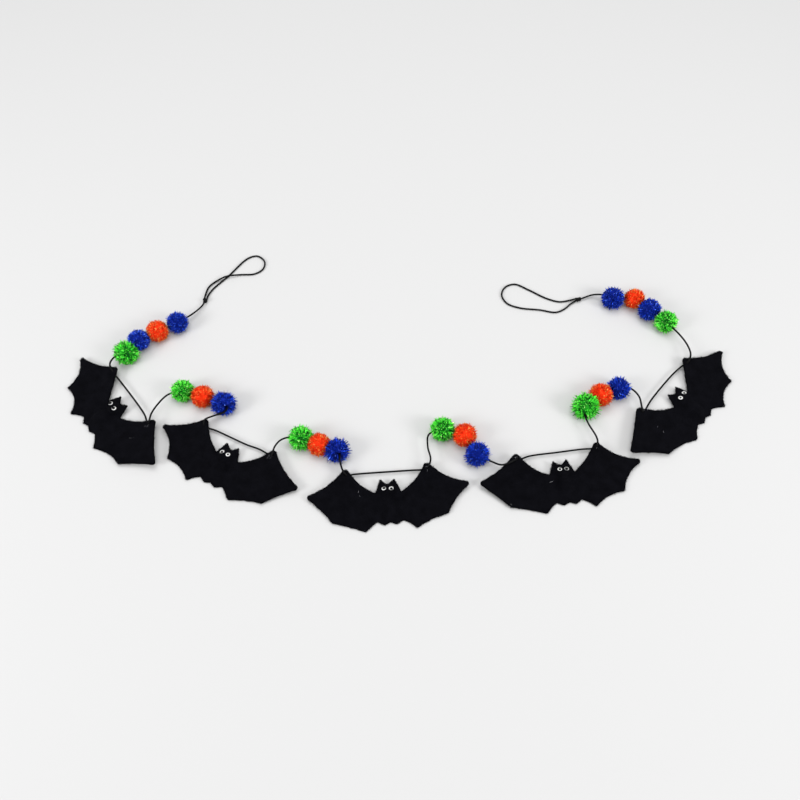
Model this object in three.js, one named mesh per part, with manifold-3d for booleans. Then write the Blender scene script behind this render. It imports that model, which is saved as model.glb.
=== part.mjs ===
// Flocked bat garland: one black cord with five flocked bats, twenty tinsel pompoms and a knotted
// loop at each end, laid out in a wide U on a flat surface.
// Millimetres, +Z up, the surface at z = 0, the bats' heads towards the inside of the U.

import * as THREE from "three";
import { mergeVertices } from "three/addons/utils/BufferGeometryUtils.js";
import Module from "manifold-3d";

const wasm = await Module();
wasm.setup();

// Sizes of the pieces.
const SHEET = 2.0; // a flocked bat is a thin stiff sheet with pile on both sides
const CORD_RADIUS = 1.0;
const CORD_SIDES = 8;
const CORD_GAP = 0.35; // room round the cord in holes and bores
const PIECE_GAP = 0.3;
const EYE_RADIUS = 2.5;
const EYE_HEIGHT = 1.6;
const EYE_RIM = 0.4; // straight side of an eye below its dome
const EYE_SIDES = 10;
const EYE_GAP = 0.45;
const POMPOM_CENTRE = 9.5; // height of a pompom's centre, its flat spot on the surface
const CORE_USUAL = 9.8; // core of a pompom whose locks have the plain reach
const CORE_RINGS = 5;
const CORE_SIDES = 9;
const LOCK_ROOT = 2.5; // root radius of a lock of tinsel
const LOCK_START = 6.5; // distance of a lock's root from the centre
const LOCK_REACH = [12.3, 13.9]; // shortest and longest reach of a lock's point
const LOCK_LOWEST = 1.2; // height that the point of every lock keeps
const LOCK_FROM_CORD = 0.66; // angle between a lock and the cord, in radians
const LOCK_FROM_NEXT = 0.9; // room between a lock's point and the next pompom's half
const LOCKS = 15; // locks on one pompom
const LOCK_DIRECTIONS = 30; // directions tried for them
const KNOT_RING = 1.4; // a knot is a few turns of the cord side by side
const KNOT_HEIGHT = 2.3;
const KNOT_SLANT = 0.3; // turns lean to and fro, in radians
const KNOT_STEPS = 8; // corners of one turn
const KNOT_SIDES = 6;
const FLOOR_BLOCK = 30;

// Middle of the laid-out bats and pompoms, which becomes the origin.
const MIDDLE = { x: 0.57, y: 0.878 };

// Raised face and belly of a bat, soft mounds on its upper side only. Their sides are steeper
// than a plain soft step.
const MOUND_STEEPNESS = 1.5;
const MOUNDS = [
  { u: 0, v: 0.2, halfWidth: 11.5, halfLength: 8.2, height: 5.5 },
  { u: 0, v: -17, halfWidth: 11, halfLength: 15.5, height: 3.8 },
];

// Right half of a bat's outline, from the dip between the legs to the dip between the ears.
// u runs across the bat and v towards its head. "round" is the radius of the corner, and "bow" is
// how far the edge that follows stands out at its middle, minus for a hollow edge. The bows of the
// four long edges of a wing differ from bat to bat, and "edge" is their place in the bat's list.
const OUTLINE = [
  { u: 0, v: -33, round: 0, bow: 0 },
  { u: 6.4, v: -35.8, round: 0.7, bow: 0 },
  { u: 13.1, v: -31.9, round: 0, bow: -0.8 },
  { u: 26.7, v: -40.9, round: 2.6, edge: 0 },
  { u: 60.7, v: -28.8, round: 2.8, edge: 1 },
  { u: 86.0, v: 1.1, round: 3.0, edge: 2 },
  { u: 43.1, v: 26.8, round: 4.6, edge: 3 },
  { u: 13.6, v: -0.8, round: 0, bow: 0 },
  { u: 7.3, v: 12.6, round: 0.9, bow: -0.4 },
  { u: 0, v: 7.5, round: 0, bow: 0 },
];
const DEEP_BOW = 3; // an edge that bows more than this is drawn with more points

// The five bats. x, y and turn place them. "reach" stretches and "sweep" turns the left and right
// wing, as each is a little different. "bows" are those of each wing's four long edges, from the
// leg round the tip to the neck. "head" and "tips" are how far the head side and the two tips stand
// up where the cord carries them. "eyes" are the middles of the eyes in u and v.
const BATS = [
  { x: -315.9, y: -8.3, turn: -51.6, reach: [0.94, 1.038], sweep: [-0.4, 0.6],
    bows: [[-5.4, -5.2, -3.4, 0.3], [-3.4, -1.2, -1.4, -3.2]],
    head: 6.5, tips: [1.5, 5.0], eyes: [[-4.4, -0.3], [3.5, -0.3]] },
  { x: -184.8, y: -65.5, turn: -26.2, reach: [0.926, 1.006], sweep: [-1.7, -0.5],
    bows: [[-3.3, -4.4, -3.0, -2.3], [-1.2, -1.2, -2.8, -3.3]],
    head: 5.5, tips: [4.0, 3.0], eyes: [[-5.0, 0.4], [2.4, 0.2]] },
  { x: -12.4, y: -105.3, turn: 5.1, reach: [0.975, 0.982], sweep: [-0.7, -0.1],
    bows: [[-0.4, -1.0, -3.4, -3.2], [-1.6, -2.3, -4.0, -3.2]],
    head: 5.5, tips: [1.5, 3.0], eyes: [[-4.2, 0.9], [3.3, 0.6]] },
  { x: 171.3, y: -84.1, turn: 8.6, reach: [1.03, 0.988], sweep: [-1.3, -0.6],
    bows: [[-0.7, -0.2, -2.7, -3.5], [-3.0, -4.0, -4.5, -2.0]],
    head: 6.0, tips: [4.0, 1.5], eyes: [[-3.4, 1.3], [3.8, 0.9]] },
  { x: 313.3, y: 4.3, turn: 46.2, reach: [1.118, 0.982], sweep: [0.7, -0.4],
    bows: [[-2.2, -0.9, -0.2, -3.4], [-4.8, -5.0, -3.3, 0.2]],
    head: 5.5, tips: [5.0, 1.5], eyes: [[-3.7, 0.4], [4.3, 1.0]] },
];

// Where a bat's parts begin to rise from the surface, and over what distance.
const HEAD_RISE = { from: -12, over: 40 };
const TIP_RISE = { from: 40, over: 50 };

// A wing is stretched and swept from its shoulder on, with a soft start.
const SHOULDER = { u: 12, v: -5, soften: 12 };

// Grid of a bat's sheet, closer where the mounds are.
const U_LINES = [-104, -74, -56, -42, -28, -17, -11.5, -8, -5, -2.5, 0,
  2.5, 5, 8, 11.5, 17, 28, 42, 56, 74, 104];
const V_LINES = [-48, -29, -20, -12, -6, -2, 2.5, 8, 16, 26, 40];

// The pompoms in six groups, in their order along the cord. "core" is the radius of the dense
// middle of a pompom.
const POMPOMS = [
  [
    { colour: "blue", x: -261.3, y: 102.0, core: 9.8 },
    { colour: "orange", x: -282.8, y: 90.0, core: 9.7 },
    { colour: "blue", x: -302.1, y: 77.4, core: 9.8 },
    { colour: "green", x: -313.3, y: 59.9, core: 10.5 },
  ],
  [
    { colour: "green", x: -241.7, y: 10.4, core: 9.8 },
    { colour: "orange", x: -218.6, y: 3.3, core: 9.7 },
    { colour: "blue", x: -194.4, y: -5.7, core: 10.2 },
  ],
  [
    { colour: "green", x: -106.4, y: -47.1, core: 10.1 },
    { colour: "orange", x: -86.4, y: -54.9, core: 9.7 },
    { colour: "blue", x: -67.4, y: -62.0, core: 10.0 },
  ],
  [
    { colour: "green", x: 46.1, y: -36.9, core: 10.0 },
    { colour: "orange", x: 69.6, y: -43.8, core: 9.8 },
    { colour: "blue", x: 82.0, y: -66.5, core: 10.1 },
  ],
  [
    { colour: "green", x: 204.4, y: -9.0, core: 11.0 },
    { colour: "orange", x: 222.7, y: 5.2, core: 9.9 },
    { colour: "blue", x: 243.6, y: 13.6, core: 9.8 },
  ],
  [
    { colour: "green", x: 312.2, y: 103.1, core: 9.9 },
    { colour: "blue", x: 295.8, y: 120.5, core: 9.9 },
    { colour: "orange", x: 280.5, y: 136.2, core: 9.7 },
    { colour: "blue", x: 254.8, y: 137.0, core: 10.1 },
  ],
];

// Middle line of the cord from the left knot to the right one: x, y, z.
// It dips through a hole near each wing peak and runs taut behind the bat from peak to peak.
const CORD_ROUTE = [
  [-235.5, 137.2, 2.5],
  [-238.0, 130.5, 2.7],
  [-246.5, 116.5, 6.2],
  [-261.3, 102.0, 9.5],
  [-302.1, 77.4, 9.5],
  [-313.3, 59.9, 9.5],
  [-324.6, 56.0, 9.8],
  [-329.4, 46.2, 9.9],
  [-327.7, 40.7, 9.6],
  [-325.1, 36.9, 6.9],
  [-322.4, 33.0, 4.5],
  [-316.0, 25.9, 4.0],
  [-281.2, -16.6, 4.0],
  [-277.6, -24.4, 4.3],
  [-274.4, -28.8, 6.9],
  [-272.6, -25.6, 9.8],
  [-271.9, -18.6, 9.9],
  [-266.4, -5.9, 9.7],
  [-257.2, 5.6, 9.7],
  [-241.7, 10.4, 9.5],
  [-218.6, 3.3, 9.5],
  [-194.4, -5.7, 9.5],
  [-188.6, -12.4, 13.0],
  [-191.6, -16.6, 11.2],
  [-204.8, -20.8, 9.0],
  [-212.6, -24.8, 8.8],
  [-213.8, -29.4, 6.1],
  [-210.0, -32.0, 3.6],
  [-200.5, -35.5, 3.4],
  [-184.0, -43.4, 3.4],
  [-165.0, -52.5, 3.4],
  [-150.6, -58.0, 3.4],
  [-141.6, -63.4, 3.7],
  [-137.0, -66.6, 6.1],
  [-135.2, -63.2, 8.9],
  [-134.0, -57.6, 9.0],
  [-128.2, -49.8, 9.4],
  [-119.0, -46.4, 9.6],
  [-106.4, -47.1, 9.5],
  [-86.4, -54.9, 9.5],
  [-67.4, -62.0, 9.5],
  [-63.9, -67.9, 13.8],
  [-63.2, -74.4, 11.6],
  [-61.0, -82.4, 9.1],
  [-58.8, -86.5, 8.6],
  [-56.1, -88.7, 6.0],
  [-51.8, -87.2, 3.6],
  [-42.0, -86.1, 3.5],
  [14.0, -82.0, 3.5],
  [23.4, -81.5, 3.7],
  [27.9, -80.5, 6.1],
  [31.0, -77.4, 9.0],
  [32.4, -71.0, 9.0],
  [29.6, -57.0, 9.2],
  [31.2, -42.8, 9.4],
  [46.1, -36.9, 9.5],
  [69.6, -43.8, 9.5],
  [82.0, -66.5, 9.5],
  [97.0, -74.5, 9.1],
  [107.0, -78.2, 9.1],
  [115.6, -76.0, 9.9],
  [120.6, -73.0, 9.1],
  [124.5, -70.3, 6.6],
  [129.0, -69.2, 4.0],
  [138.5, -65.9, 3.8],
  [168.0, -61.7, 3.8],
  [197.0, -57.7, 3.8],
  [206.2, -57.2, 4.1],
  [210.5, -56.2, 6.6],
  [211.6, -52.6, 9.4],
  [211.4, -46.0, 9.0],
  [204.0, -28.6, 9.4],
  [201.9, -17.6, 9.5],
  [204.4, -9.0, 9.5],
  [222.7, 5.2, 9.5],
  [243.6, 13.6, 9.5],
  [256.8, 13.4, 9.6],
  [264.7, 4.1, 9.2],
  [265.9, -9.1, 9.0],
  [267.1, -14.5, 6.3],
  [270.7, -11.1, 3.8],
  [279.1, 1.1, 3.8],
  [309.1, 34.3, 3.6],
  [322.5, 45.9, 3.8],
  [327.5, 48.5, 6.1],
  [330.5, 52.1, 8.7],
  [333.1, 60.5, 9.0],
  [329.0, 77.4, 9.3],
  [312.2, 103.1, 9.5],
  [280.5, 136.2, 9.5],
  [254.8, 137.0, 9.5],
  [244.6, 143.0, 8.0],
  [233.4, 145.9, 4.2],
  [217.2, 140.6, 2.5],
];

// Middle lines of the two end loops. Each starts and ends in its knot.
const LEFT_LOOP = [
  [-236.6, 140.2, 2.3],
  [-236.3, 148.6, 1.3],
  [-233.5, 160.2, 1.05],
  [-223.0, 170.0, 2.0],
  [-212.5, 174.6, 3.6],
  [-197.0, 178.4, 1.5],
  [-179.9, 180.0, 1.05],
  [-170.3, 187.3, 1.05],
  [-169.2, 199.3, 1.05],
  [-178.8, 207.9, 1.05],
  [-190.2, 204.5, 1.05],
  [-212.6, 175.5, 1.05],
  [-228.2, 156.9, 1.05],
  [-232.8, 147.0, 1.4],
  [-233.6, 140.2, 2.3],
];
const RIGHT_LOOP = [
  [212.4, 141.4, 2.3],
  [204.4, 139.5, 1.5],
  [193.0, 137.8, 1.05],
  [177.4, 142.8, 1.05],
  [157.0, 155.5, 1.05],
  [140.4, 164.1, 1.05],
  [128.4, 159.4, 1.05],
  [123.6, 147.9, 1.05],
  [129.0, 135.7, 1.05],
  [143.2, 129.0, 1.05],
  [168.0, 125.8, 1.05],
  [186.9, 122.4, 1.05],
  [197.8, 127.5, 1.05],
  [205.4, 134.2, 1.5],
  [212.2, 138.4, 2.3],
];

// The two knots: middle, direction of the run of turns, number of turns, their spacing.
const KNOTS = [
  { name: "knot_left", x: -235.3, y: 138.6, along: 98, turns: 3, pitch: 1.75 },
  { name: "knot_right", x: 215.2, y: 140.2, along: 8, turns: 4, pitch: 1.95 },
];

const FINISHES = {
  flock: { color: 0x0c0c14, roughness: 1, metalness: 0 },
  cord: { color: 0x101012, roughness: 0.7, metalness: 0 },
  eye: { color: 0xf2f2ee, roughness: 0.15, metalness: 0 },
  blue: { color: 0x1230b4, roughness: 0.35, metalness: 0.4 },
  orange: { color: 0xff4a14, roughness: 0.35, metalness: 0.4 },
  green: { color: 0x33d62e, roughness: 0.35, metalness: 0.4 },
};

// A closed body that can be joined and cut.
function body(geometry) {
  const bare = geometry.clone();
  bare.deleteAttribute("normal");
  bare.deleteAttribute("uv");
  const merged = mergeVertices(bare, 1e-4);
  const mesh = new wasm.Mesh({
    numProp: 3,
    vertProperties: new Float32Array(merged.attributes.position.array),
    triVerts: new Uint32Array(merged.index.array),
  });
  return new wasm.Manifold(mesh);
}

function joined(bodies) {
  return bodies.reduce((sum, next) => sum.add(next));
}

function geometryOf(manifold) {
  const mesh = manifold.getMesh();
  const geometry = new THREE.BufferGeometry();
  geometry.setAttribute("position", new THREE.BufferAttribute(new Float32Array(mesh.vertProperties), 3));
  geometry.setIndex(new THREE.BufferAttribute(new Uint32Array(mesh.triVerts), 1));
  geometry.computeVertexNormals();
  return geometry;
}

function place(geometry, x, y, turn) {
  geometry.rotateZ(THREE.MathUtils.degToRad(turn));
  geometry.translate(x, y, 0);
  return geometry;
}

function soft(t) {
  return THREE.MathUtils.smoothstep(t, 0, 1);
}

// Repeatable random numbers between 0 and 1.
function randomFrom(seed) {
  let state = seed;
  return () => {
    state = (state * 1664525 + 1013904223) % 4294967296;
    return state / 4294967296;
  };
}

// The surface below z = 0, cut away from what rests on it.
function floorBlock(x, y) {
  const block = new THREE.BoxGeometry(FLOOR_BLOCK, FLOOR_BLOCK, FLOOR_BLOCK);
  block.translate(x, y, -FLOOR_BLOCK / 2);
  return body(block);
}

// A cord's middle line, with one ring of the tube at each chosen point.
class Route extends THREE.Curve {
  constructor(points) {
    super();
    this.spine = new THREE.CatmullRomCurve3(points.map((p) => new THREE.Vector3(...p)), false, "centripetal");
  }

  getPointAt(u, target = new THREE.Vector3()) {
    return this.spine.getPoint(u, target);
  }

  getTangentAt(u, target = new THREE.Vector3()) {
    return this.spine.getTangent(u, target);
  }
}

function tube(points, radius) {
  const section = new THREE.Shape();
  for (let i = 0; i < CORD_SIDES; i += 1) {
    const angle = (i * 2 * Math.PI) / CORD_SIDES;
    const x = radius * Math.cos(angle);
    const y = radius * Math.sin(angle);
    if (i === 0) {
      section.moveTo(x, y);
    } else {
      section.lineTo(x, y);
    }
  }
  section.closePath();
  const extrudePath = new Route(points);
  return body(new THREE.ExtrudeGeometry(section, { steps: points.length - 1, extrudePath }));
}

// Underside of a bat above the surface: flat on it at the tail, up at the head and the tips.
function lift(bat, u, v) {
  const head = bat.head * soft((v - HEAD_RISE.from) / HEAD_RISE.over);
  const tip = bat.tips[u < 0 ? 0 : 1] * soft((Math.abs(u) - TIP_RISE.from) / TIP_RISE.over);
  return head + tip;
}

function mound(u, v) {
  const heights = MOUNDS.map((m) => {
    const away = Math.hypot((u - m.u) / m.halfWidth, (v - m.v) / m.halfLength);
    return m.height * soft(MOUND_STEEPNESS * (1 - away));
  });
  return Math.hypot(...heights);
}

function topOf(bat, u, v) {
  return lift(bat, u, v) + SHEET + mound(u, v);
}

// Where a point of the plain outline comes to lie once its wing is stretched and swept.
function wing(bat, u, v) {
  const side = u < 0 ? 0 : 1;
  const out = Math.abs(u) - SHOULDER.u;
  if (out <= 0) {
    return [u, v];
  }
  const angle = THREE.MathUtils.degToRad(bat.sweep[side]) * soft(out / SHOULDER.soften);
  const along = out * bat.reach[side];
  const up = v - SHOULDER.v;
  const x = SHOULDER.u + along * Math.cos(angle) - up * Math.sin(angle);
  const y = SHOULDER.v + along * Math.sin(angle) + up * Math.cos(angle);
  return [Math.sign(u) * x, y];
}

// A bat's whole outline as a list of points, corners rounded and edges bowed.
function outline(bat) {
  const left = OUTLINE.slice(1, -1).reverse().map((c) => ({ ...c, u: -c.u }));
  const corners = [...OUTLINE, ...left];
  const bowsOf = (side) => OUTLINE.slice(0, -1).map((c) => c.bow ?? bat.bows[side][c.edge]);
  const bows = [...bowsOf(1), ...bowsOf(0).reverse()];
  const at = (i) => {
    const c = corners[(i + corners.length) % corners.length];
    return new THREE.Vector2(c.u, c.v);
  };
  const rounded = corners.map((corner, i) => {
    const here = at(i);
    if (corner.round === 0) {
      return [here];
    }
    const before = here.clone().sub(at(i - 1)).normalize();
    const after = at(i + 1).sub(here).normalize();
    const outward = before.clone().sub(after).normalize();
    const centre = here.clone().addScaledVector(outward, -corner.round);
    const start = Math.atan2(-before.x, before.y);
    let end = Math.atan2(-after.x, after.y);
    if (end < start) {
      end += 2 * Math.PI;
    }
    const parts = corner.round > 1 ? 3 : 1;
    const arc = [];
    for (let k = 0; k <= parts; k += 1) {
      const angle = start + ((end - start) * k) / parts;
      arc.push(new THREE.Vector2(Math.cos(angle), Math.sin(angle)).multiplyScalar(corner.round).add(centre));
    }
    return arc;
  });
  const points = [];
  rounded.forEach((arc, i) => {
    points.push(...arc);
    const from = arc[arc.length - 1];
    const to = rounded[(i + 1) % rounded.length][0];
    const bow = bows[i];
    if (bow === 0) {
      return;
    }
    const way = to.clone().sub(from);
    const outward = new THREE.Vector2(way.y, -way.x).normalize();
    const control = from.clone().add(to).multiplyScalar(0.5).addScaledVector(outward, 2 * bow);
    const edge = new THREE.QuadraticBezierCurve(from, control, to);
    const parts = Math.abs(bow) > DEEP_BOW ? 4 : 2;
    points.push(...edge.getPoints(parts).slice(1, -1));
  });
  return points;
}

// A slab on the grid, lifted and moulded like the bat, before it is cut to the outline.
function slab(bat) {
  const across = U_LINES.length - 1;
  const along = V_LINES.length - 1;
  const geometry = new THREE.BoxGeometry(1, 1, 1, across, along, 1);
  const position = geometry.attributes.position;
  for (let i = 0; i < position.count; i += 1) {
    const u = U_LINES[Math.round((position.getX(i) + 0.5) * across)];
    const v = V_LINES[Math.round((position.getY(i) + 0.5) * along)];
    const z = position.getZ(i) > 0 ? topOf(bat, u, v) : lift(bat, u, v);
    position.setXYZ(i, u, v, z);
  }
  return geometry;
}

function batBody(bat, bore) {
  const edge = outline(bat).map((p) => new THREE.Vector2(...wing(bat, p.x, p.y)));
  const depth = 60;
  const cutter = new THREE.ExtrudeGeometry(new THREE.Shape(edge), { depth, bevelEnabled: false });
  cutter.translate(0, 0, -depth / 2);
  const sheet = body(place(slab(bat), bat.x, bat.y, bat.turn));
  return sheet.intersect(body(place(cutter, bat.x, bat.y, bat.turn))).subtract(bore);
}

// A low dome that sits on the bat's face, square to it.
function eyeBody(bat, middle) {
  const profile = [
    new THREE.Vector2(0, 0),
    new THREE.Vector2(EYE_RADIUS, 0),
    new THREE.Vector2(EYE_RADIUS, EYE_RIM),
    new THREE.Vector2(EYE_RADIUS * 0.72, EYE_HEIGHT * 0.74),
    new THREE.Vector2(0, EYE_HEIGHT),
  ];
  const dome = new THREE.LatheGeometry(profile, EYE_SIDES);
  const [u, v] = middle;
  const step = 2;
  const rise = new THREE.Vector3(
    (topOf(bat, u - step, v) - topOf(bat, u + step, v)) / (2 * step),
    (topOf(bat, u, v - step) - topOf(bat, u, v + step)) / (2 * step),
    1,
  ).normalize();
  dome.applyQuaternion(new THREE.Quaternion().setFromUnitVectors(new THREE.Vector3(0, 1, 0), rise));
  const seat = new THREE.Vector3(u, v, topOf(bat, u, v)).addScaledVector(rise, EYE_GAP);
  dome.translate(seat.x, seat.y, seat.z);
  return body(place(dome, bat.x, bat.y, bat.turn));
}

// Directions spread evenly over a ball.
function spread(count, spin) {
  const golden = Math.PI * (3 - Math.sqrt(5));
  return Array.from({ length: count }, (_, i) => {
    const z = 1 - (2 * (i + 0.5)) / count;
    const r = Math.sqrt(1 - z * z);
    const angle = i * golden + spin;
    return new THREE.Vector3(r * Math.cos(angle), r * Math.sin(angle), z);
  });
}

// Directions in which the cord leaves a pompom, both ways along its route. The centre lies on or
// near one straight stretch of it, or at the point where two stretches meet.
function cordDirections(centre) {
  const route = CORD_ROUTE.map((p) => new THREE.Vector3(...p));
  const away = route.map((p) => p.distanceTo(centre));
  const detour = (i) => away[i - 1] + away[i] - route[i].distanceTo(route[i - 1]);
  const after = route.findIndex((p, i) => i > 0 && detour(i) < 0.6);
  const isCentre = (i) => away[i] < 1;
  const ends = [isCentre(after - 1) ? after - 2 : after - 1, isCentre(after) ? after + 1 : after];
  return ends.map((i) => route[i].clone().sub(centre).normalize());
}

// A pompom: a dense core with pointed locks of tinsel, and a flat spot where it rests.
function pompomBody(pompom, group, bore, random) {
  const centre = new THREE.Vector3(pompom.x, pompom.y, POMPOM_CENTRE);
  const low = -Math.asin(POMPOM_CENTRE / pompom.core);
  const profile = [new THREE.Vector2(0, -POMPOM_CENTRE)];
  for (let i = 0; i <= CORE_RINGS; i += 1) {
    const angle = low + ((Math.PI / 2 - low) * i) / CORE_RINGS;
    const radius = i === CORE_RINGS ? 0 : pompom.core * Math.cos(angle);
    profile.push(new THREE.Vector2(radius, pompom.core * Math.sin(angle)));
  }
  const core = new THREE.LatheGeometry(profile, CORE_SIDES);
  core.rotateX(Math.PI / 2);
  core.rotateZ(random() * Math.PI);
  core.translate(centre.x, centre.y, centre.z);
  const parts = [body(core)];
  const cord = cordDirections(centre);
  for (const direction of spread(LOCK_DIRECTIONS, random() * 2 * Math.PI)) {
    const longer = pompom.core - CORE_USUAL;
    const reach = THREE.MathUtils.lerp(...LOCK_REACH, random()) + longer;
    const point = direction.clone().multiplyScalar(reach).add(centre);
    const clearOfCord = cord.every((d) => d.angleTo(direction) > LOCK_FROM_CORD);
    const clearOfOthers = group.every((other) => {
      const away = new THREE.Vector3(other.x - pompom.x, other.y - pompom.y, 0);
      const half = away.length() / 2;
      return other === pompom || direction.dot(away.normalize()) * reach < half - LOCK_FROM_NEXT;
    });
    if (parts.length > LOCKS || point.z < LOCK_LOWEST || !clearOfCord || !clearOfOthers) {
      continue;
    }
    const lock = new THREE.ConeGeometry(LOCK_ROOT, reach - LOCK_START, 3);
    lock.translate(0, (reach + LOCK_START) / 2, 0);
    lock.rotateY(random() * Math.PI);
    lock.applyQuaternion(new THREE.Quaternion().setFromUnitVectors(new THREE.Vector3(0, 1, 0), direction));
    lock.translate(centre.x, centre.y, centre.z);
    parts.push(body(lock));
  }
  return joined(parts).subtract(bore);
}

// A few turns of the cord side by side round a short middle.
function knotBody(knot) {
  const turns = [];
  const length = (knot.turns - 1) * knot.pitch;
  for (let i = 0; i < knot.turns; i += 1) {
    const ring = new THREE.TorusGeometry(KNOT_RING, CORD_RADIUS, KNOT_SIDES, KNOT_STEPS);
    ring.rotateY(Math.PI / 2 + (i % 2 ? KNOT_SLANT : -KNOT_SLANT));
    ring.translate(i * knot.pitch - length / 2, 0, KNOT_HEIGHT);
    turns.push(body(place(ring, knot.x, knot.y, knot.along)));
  }
  turns.push(knotRod(knot, KNOT_RING, length));
  return joined(turns);
}

// A rod along a knot's run of turns.
function knotRod(knot, radius, length) {
  const rod = new THREE.CylinderGeometry(radius, radius, length, CORD_SIDES);
  rod.rotateZ(Math.PI / 2);
  rod.translate(0, 0, KNOT_HEIGHT);
  return body(place(rod, knot.x, knot.y, knot.along));
}

// The room a knot and its slanting end turns take up, cut off the ends of the cord that run into it.
function knotRoom(knot) {
  const lean = KNOT_RING * Math.sin(KNOT_SLANT);
  const length = (knot.turns - 1) * knot.pitch + 2 * (lean + CORD_RADIUS + PIECE_GAP);
  return knotRod(knot, KNOT_RING + 2 * CORD_RADIUS, length);
}

const garland = new THREE.Group();
garland.name = "flocked_bat_garland";

function add(name, manifold, finish) {
  const geometry = geometryOf(manifold);
  geometry.translate(-MIDDLE.x, -MIDDLE.y, 0);
  const mesh = new THREE.Mesh(geometry, new THREE.MeshStandardMaterial(FINISHES[finish]));
  mesh.name = name;
  garland.add(mesh);
}

const bore = tube(CORD_ROUTE, CORD_RADIUS + CORD_GAP);
const knotRooms = joined(KNOTS.map(knotRoom));

add("cord_main", tube(CORD_ROUTE, CORD_RADIUS).subtract(knotRooms), "cord");
add("cord_loop_left", tube(LEFT_LOOP, CORD_RADIUS).subtract(knotRooms), "cord");
add("cord_loop_right", tube(RIGHT_LOOP, CORD_RADIUS).subtract(knotRooms), "cord");
for (const knot of KNOTS) {
  add(knot.name, knotBody(knot).subtract(floorBlock(knot.x, knot.y)), "cord");
}

BATS.forEach((bat, i) => {
  add(`bat_${i + 1}`, batBody(bat, bore), "flock");
  add(`eye_${i + 1}_left`, eyeBody(bat, bat.eyes[0]), "eye");
  add(`eye_${i + 1}_right`, eyeBody(bat, bat.eyes[1]), "eye");
});

const random = randomFrom(20);
POMPOMS.forEach((group, g) => {
  group.forEach((pompom, i) => {
    const name = `pompom_${"abcdef"[g]}${i + 1}_${pompom.colour}`;
    add(name, pompomBody(pompom, group, bore, random), pompom.colour);
  });
});

export default garland;
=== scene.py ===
# %% [markdown]
# # A flocked bat garland
# Five black flocked bats and twenty tinsel pompoms hang on one thin black cord that ends in a
# knotted loop at each end. Here the garland lies on a pale surface in a wide U.
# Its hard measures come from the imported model, which is loaded first and stays as it is. The
# pieces made below take the place of its plain solids and have the same middle lines and outlines.

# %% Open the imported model
import math

import bmesh
import bpy
import numpy as np
from mathutils import Matrix, Vector, noise


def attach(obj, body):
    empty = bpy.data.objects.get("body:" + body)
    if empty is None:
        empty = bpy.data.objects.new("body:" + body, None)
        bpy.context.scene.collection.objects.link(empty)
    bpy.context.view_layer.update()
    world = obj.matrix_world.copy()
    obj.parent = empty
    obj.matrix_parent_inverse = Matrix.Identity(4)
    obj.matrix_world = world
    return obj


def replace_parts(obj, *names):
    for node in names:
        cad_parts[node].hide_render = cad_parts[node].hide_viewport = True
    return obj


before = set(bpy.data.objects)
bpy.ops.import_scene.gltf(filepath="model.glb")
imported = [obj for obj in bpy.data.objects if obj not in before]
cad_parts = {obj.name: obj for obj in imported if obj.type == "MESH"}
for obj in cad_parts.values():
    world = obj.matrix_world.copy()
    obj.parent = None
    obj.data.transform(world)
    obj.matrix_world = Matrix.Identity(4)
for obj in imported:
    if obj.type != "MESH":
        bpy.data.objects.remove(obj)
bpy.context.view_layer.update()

# %% [markdown]
# ## Measures shared by all pieces
# The measures are in millimetres, as a maker would note them, and one function turns a place on
# the table into the scene's metres. The origin is under the middle of the laid-out pieces.

# %% Units and places
MM = 0.001
MIDDLE_X, MIDDLE_Y = 0.57, 0.878


def at(x, y, z):
    """A place on the table in millimetres, as a point in the scene."""
    return Vector(((x - MIDDLE_X) * MM, (y - MIDDLE_Y) * MM, z * MM))


def soft(t):
    """A step from 0 to 1 with soft ends."""
    t = np.clip(t, 0, 1)
    return t * t * (3 - 2 * t)


def every(size):
    """Scale of a noise whose lumps come every so many millimetres."""
    return 1 / (size * MM)


# %% [markdown]
# ## The camera
# The picture looks down at the table from the front, 62 degrees above the horizon, from a bit
# less than 80 cm. The angle was worked out from the bats, which are all alike but turned. A lens
# of 31.5 mm on a 36 mm sensor gives the same spread of sizes from front to back.

# %% Camera
VIEW_ELEVATION = math.radians(62)
VIEW_DISTANCE = 784
VIEW_CENTRE_Y = 4.0
LENS, SENSOR = 31.5, 36

back, up = VIEW_DISTANCE * math.cos(VIEW_ELEVATION), VIEW_DISTANCE * math.sin(VIEW_ELEVATION)
eye_point = at(0, VIEW_CENTRE_Y - back, up)
camera_data = bpy.data.cameras.new("camera")
camera_data.lens = LENS
camera_data.sensor_width = SENSOR
camera = bpy.data.objects.new("camera", camera_data)
camera.location = eye_point
camera.rotation_euler = (math.pi / 2 - VIEW_ELEVATION, 0, 0)
bpy.context.scene.collection.objects.link(camera)
bpy.context.scene.camera = camera
print("camera at", [round(c, 3) for c in eye_point])

# %% [markdown]
# ## Colours and shader nodes
# Colours are noted as they look on a screen, so one function turns them into the linear values
# that shaders want. Materials are small node trees, and one function adds a node, its settings
# and its links in one line. Others make what most materials share.

# %% Colour and node helpers
def linear(code):
    """A colour such as 33D62E as linear red, green, blue and alpha."""
    parts = [int(code[i:i + 2], 16) / 255 for i in (0, 2, 4)]
    return (*[p / 12.92 if p <= 0.04045 else ((p + 0.055) / 1.055) ** 2.4 for p in parts], 1.0)


def add(tree, kind, inputs=None, **settings):
    """A node with its settings, its values and the sockets that feed it."""
    made = tree.nodes.new(kind)
    for key, value in settings.items():
        setattr(made, key, value)
    for key, value in (inputs or {}).items():
        if isinstance(value, bpy.types.NodeSocket):
            tree.links.new(value, made.inputs[key])
        else:
            made.inputs[key].default_value = value
    return made


def new_material(name):
    """A bare material and its tree, ready for a surface."""
    material = bpy.data.materials.new(name)
    material.use_nodes = True
    material.node_tree.nodes.clear()
    return material, material.node_tree


def surface(tree, shader):
    """Makes a shader the surface of its material."""
    add(tree, "ShaderNodeOutputMaterial", {"Surface": shader})


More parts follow.
